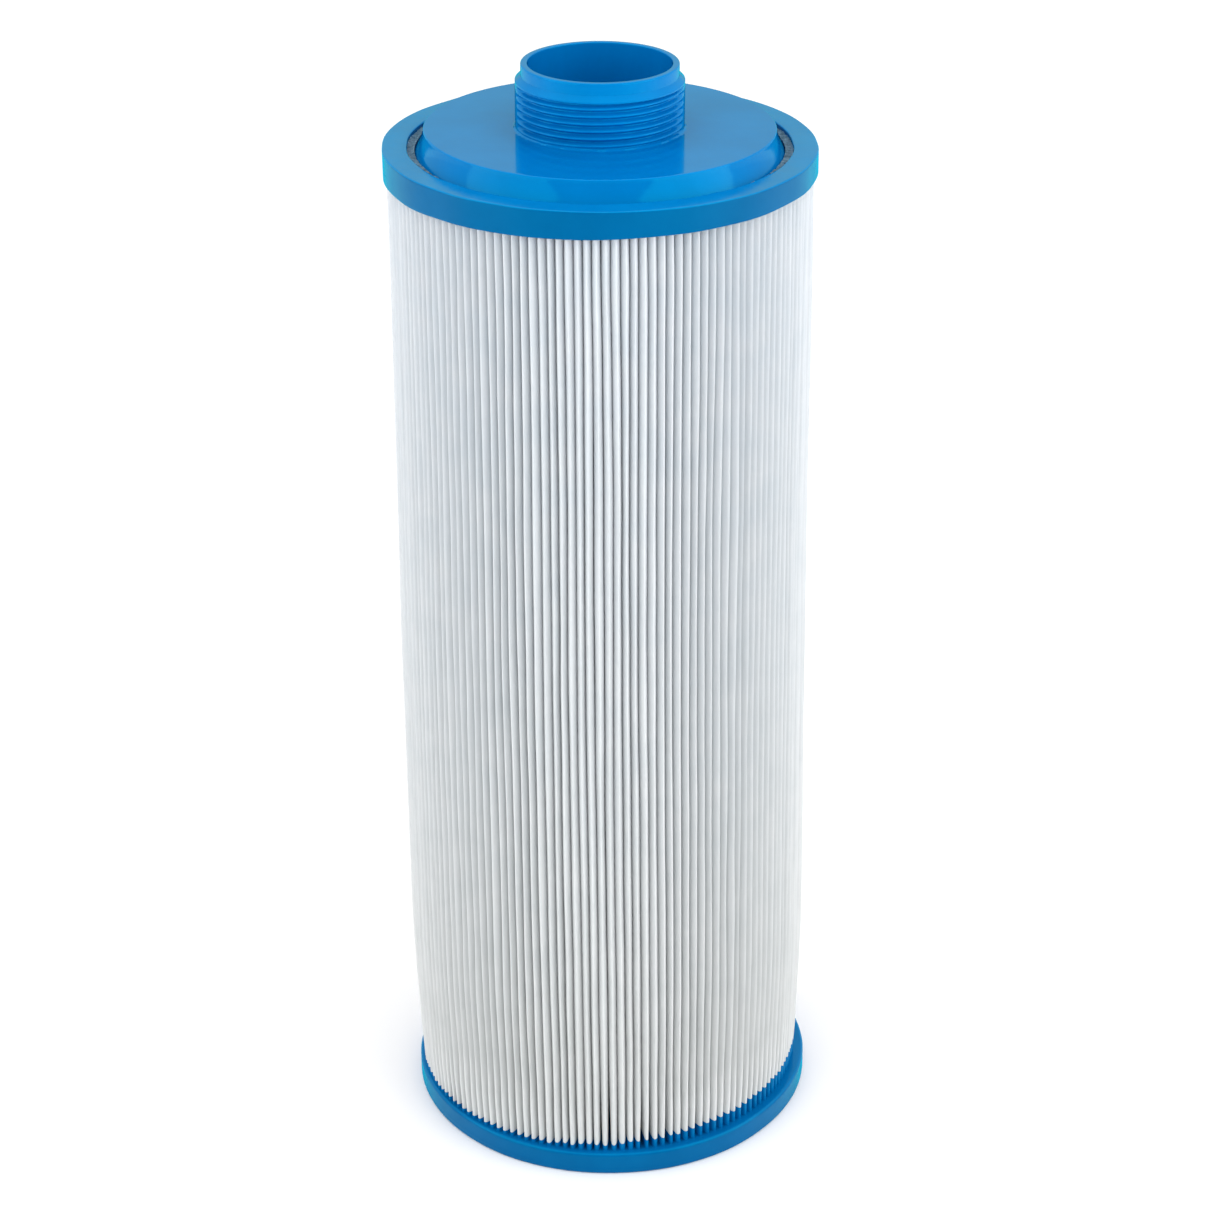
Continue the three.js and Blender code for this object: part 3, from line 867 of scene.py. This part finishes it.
def core_section(name, plastic):
    """Cage tube with three rows of windows, as one closed wall with bevelled window edges."""
    low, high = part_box(name)
    plug = PLUG_LENGTH if high.z < CORE_TOP_Z - 1 * MM else 0.0
    top = high.z - plug
    outer, inner = CORE_RADIUS, CORE_RADIUS - CORE_WALL
    columns = WINDOWS_ROUND * COLUMNS_PER_WINDOW
    middle = (low.z + top) / 2
    levels = [low.z]
    solid_row = [True]
    for row in range(WINDOW_ROWS):
        centre = middle + (row - (WINDOW_ROWS - 1) / 2) * WINDOW_PITCH
        levels += [centre - WINDOW_HEIGHT / 2, centre + WINDOW_HEIGHT / 2]
        solid_row += [False, True]
    levels.append(top)
    mesh = bmesh.new()
    walls = {}
    for side, radius in (("out", outer), ("in", inner)):
        for level, z in enumerate(levels):
            for c in range(columns):
                angle = (c / columns) * TURN
                point = (radius * math.cos(angle), radius * math.sin(angle), z)
                walls[side, level, c] = mesh.verts.new(point)

    def is_solid(row, column):
        return solid_row[row] or column % COLUMNS_PER_WINDOW in BAR_COLUMNS

    def add_face(*corners):
        mesh.faces.new([walls[corner] for corner in corners])

    for row in range(len(levels) - 1):
        for c in range(columns):
            d = (c + 1) % columns
            if not is_solid(row, c):
                continue
            up = row + 1
            add_face(("out", row, c), ("out", row, d), ("out", up, d), ("out", up, c))
            add_face(("in", row, d), ("in", row, c), ("in", up, c), ("in", up, d))
            if not is_solid(row, (c - 1) % columns):
                add_face(("in", row, c), ("out", row, c), ("out", up, c), ("in", up, c))
            if not is_solid(row, d):
                add_face(("out", row, d), ("in", row, d), ("in", up, d), ("out", up, d))
            if row == 0 or not is_solid(row - 1, c):
                add_face(("out", row, c), ("in", row, c), ("in", row, d), ("out", row, d))
            if row == len(levels) - 2 or not is_solid(up, c):
                add_face(("out", up, c), ("out", up, d), ("in", up, d), ("in", up, c))
    loose = [v for v in mesh.verts if not v.link_faces]
    bmesh.ops.delete(mesh, geom=loose, context="VERTS")
    data = bpy.data.meshes.new(name + "_cage")
    mesh.to_mesh(data)
    mesh.free()
    data.polygons.foreach_set("use_smooth", [True] * len(data.polygons))
    piece = bpy.data.objects.new(name + "_cage", data)
    bpy.context.scene.collection.objects.link(piece)
    bevel = piece.modifiers.new("soft_edges", "BEVEL")
    bevel.width = 0.35 * MM
    bevel.segments = 2
    bevel.limit_method = "ANGLE"
    bevel.angle_limit = math.radians(40)
    bevel.harden_normals = True
    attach(piece, ROOT)
    finish_piece(piece, plastic, name)


def core_closure(plastic):
    """Disc with a hollow spigot that plugs the lower end of the core."""
    low, high = CLOSURE_LOW.z, CLOSURE_HIGH.z
    flange = low + 2 * MM
    spigot = CORE_RADIUS - CORE_WALL - 0.3 * MM
    spigot_bore = spigot - 2 * MM
    hub = 3 * MM
    profile = rounded([
        (hub, low, 0),
        (CORE_RADIUS, low, 0.4 * MM),
        (CORE_RADIUS, flange, 0.3 * MM),
        (spigot, flange, 0),
        (spigot, high, 0.4 * MM),
        (spigot_bore, high, 0.4 * MM),
        (spigot_bore, flange, 0),
        (hub, flange, 0),
    ])
    vertices, faces = revolve(profile, CLOSURE_SEGMENTS, closed=False)
    vertices, faces = close_poles(vertices, faces, len(profile), CLOSURE_SEGMENTS, low, flange)
    piece = new_object("core_bottom_closure", vertices, faces, MOULDED_EDGE)
    finish_piece(piece, plastic, "core_closure")


# ---------------------------------------------------------------- studio

FLOOR_REACH = 12.0

# The photo's camera: place in metres, angles in radians, lens in millimetres.
CAMERA_PLACE = (0.3 * MM, -0.82013, 0.56691)
CAMERA_PITCH = 0.4539
CAMERA_ROLL = -0.013
CAMERA_LENS = 88.013176

# Strength of the surrounding light in front, behind and, added to those, overhead; its colours.
FRONT_LIGHT, BACK_LIGHT, OVERHEAD_LIGHT = 0.58, 0.80, 0.68
STUDIO_WHITE = (0.97, 0.985, 1.0, 1)
WARM_BAND = (1.8, 0.90, 0.50, 1)


def studio_floor():
    mesh = bpy.data.meshes.new("studio_floor")
    r = FLOOR_REACH
    mesh.from_pydata([(-r, -r, 0), (r, -r, 0), (r, r, 0), (-r, r, 0)], [], [(0, 1, 2, 3)])
    floor = bpy.data.objects.new("studio_floor", mesh)
    bpy.context.scene.collection.objects.link(floor)
    mesh.materials.append(floor_paint())


def softbox(name, azimuth, power, distance=1.3, centre_z=0.64, width=1.5, height=1.24,
            aim_z=0.17):
    """A soft rectangular light that stands on the floor. Its azimuth, in degrees, is 0 in front, on
    -Y, and grows towards +X."""
    light = bpy.data.lights.new(name, "AREA")
    light.shape = "RECTANGLE"
    light.size = width
    light.size_y = height
    light.energy = power
    lamp = bpy.data.objects.new(name, light)
    bpy.context.scene.collection.objects.link(lamp)
    a = math.radians(azimuth)
    lamp.location = (distance * math.sin(a), -distance * math.cos(a), centre_z)
    aim = Vector((0, 0, aim_z)) - lamp.location
    lamp.rotation_euler = aim.to_track_quat("-Z", "Y").to_euler()
    lamp.visible_camera = False


def world():
    """Even studio light: brighter behind the cartridge than in front of it, and brightest
    overhead. The flat tops, seen at a slant, reflect the warm band low behind it."""
    studio = bpy.data.worlds.new("studio")
    bpy.context.scene.world = studio
    studio.use_nodes = True
    tree = studio.node_tree
    direction = tree.nodes.new("ShaderNodeTexCoord").outputs["Generated"]
    axes = tree.nodes.new("ShaderNodeSeparateXYZ")
    tree.links.new(direction, axes.inputs[0])

    def eased(value, start, end, low, high):
        node = tree.nodes.new("ShaderNodeMapRange")
        node.interpolation_type = "SMOOTHSTEP"
        tree.links.new(value, node.inputs["Value"])
        limits = {"From Min": start, "From Max": end, "To Min": low, "To Max": high}
        for key, number in limits.items():
            node.inputs[key].default_value = number
        return node.outputs["Result"]

    around = eased(axes.outputs["Y"], -0.95, 0.2, FRONT_LIGHT, BACK_LIGHT)
    overhead = eased(axes.outputs["Z"], 0.55, 0.85, 0.0, OVERHEAD_LIGHT)
    strength = tree.nodes.new("ShaderNodeMath")
    strength.operation = "ADD"
    tree.links.new(around, strength.inputs[0])
    tree.links.new(overhead, strength.inputs[1])
    background = tree.nodes["Background"]
    behind = eased(axes.outputs["Y"], 0.88, 0.94, 0.0, 1.0)
    colour = tree.nodes.new("ShaderNodeMix")
    colour.data_type = "RGBA"
    colour.inputs[MIX_FIRST].default_value = STUDIO_WHITE
    colour.inputs[MIX_SECOND].default_value = WARM_BAND
    tree.links.new(behind, colour.inputs[MIX_FACTOR])
    tree.links.new(colour.outputs[MIX_RESULT], background.inputs["Color"])
    tree.links.new(strength.outputs[0], background.inputs["Strength"])


def camera():
    """The photo's view: from in front and above."""
    data = bpy.data.cameras.new("camera")
    view = bpy.data.objects.new("camera", data)
    bpy.context.scene.collection.objects.link(view)
    data.sensor_width = 36.0
    data.lens = CAMERA_LENS
    data.clip_start = 0.01
    pitch = Matrix.Rotation(math.pi / 2 - CAMERA_PITCH, 4, "X")
    roll = Matrix.Rotation(CAMERA_ROLL, 4, "Z")
    view.matrix_world = Matrix.Translation(CAMERA_PLACE) @ (pitch @ roll)
    bpy.context.scene.camera = view


def main():
    camera()
    world()
    softbox("softbox_left", azimuth=-60, power=7.8)
    softbox("softbox_right", azimuth=60, power=10.4)
    studio_floor()
    resin = cap_resin()
    plastic = core_plastic()
    outlet_fitting()
    top_cap(resin)
    bottom_cap(resin)
    groove_adhesive()
    pack = PleatPack()
    pleated_sheet(pack)
    coated_fold_ends(pack, resin)
    seam_bead()
    for section in ("core_section_lower", "core_section_middle", "core_section_upper"):
        core_section(section, plastic)
    core_closure(plastic)
    bpy.context.scene.view_settings.view_transform = "Standard"


main()
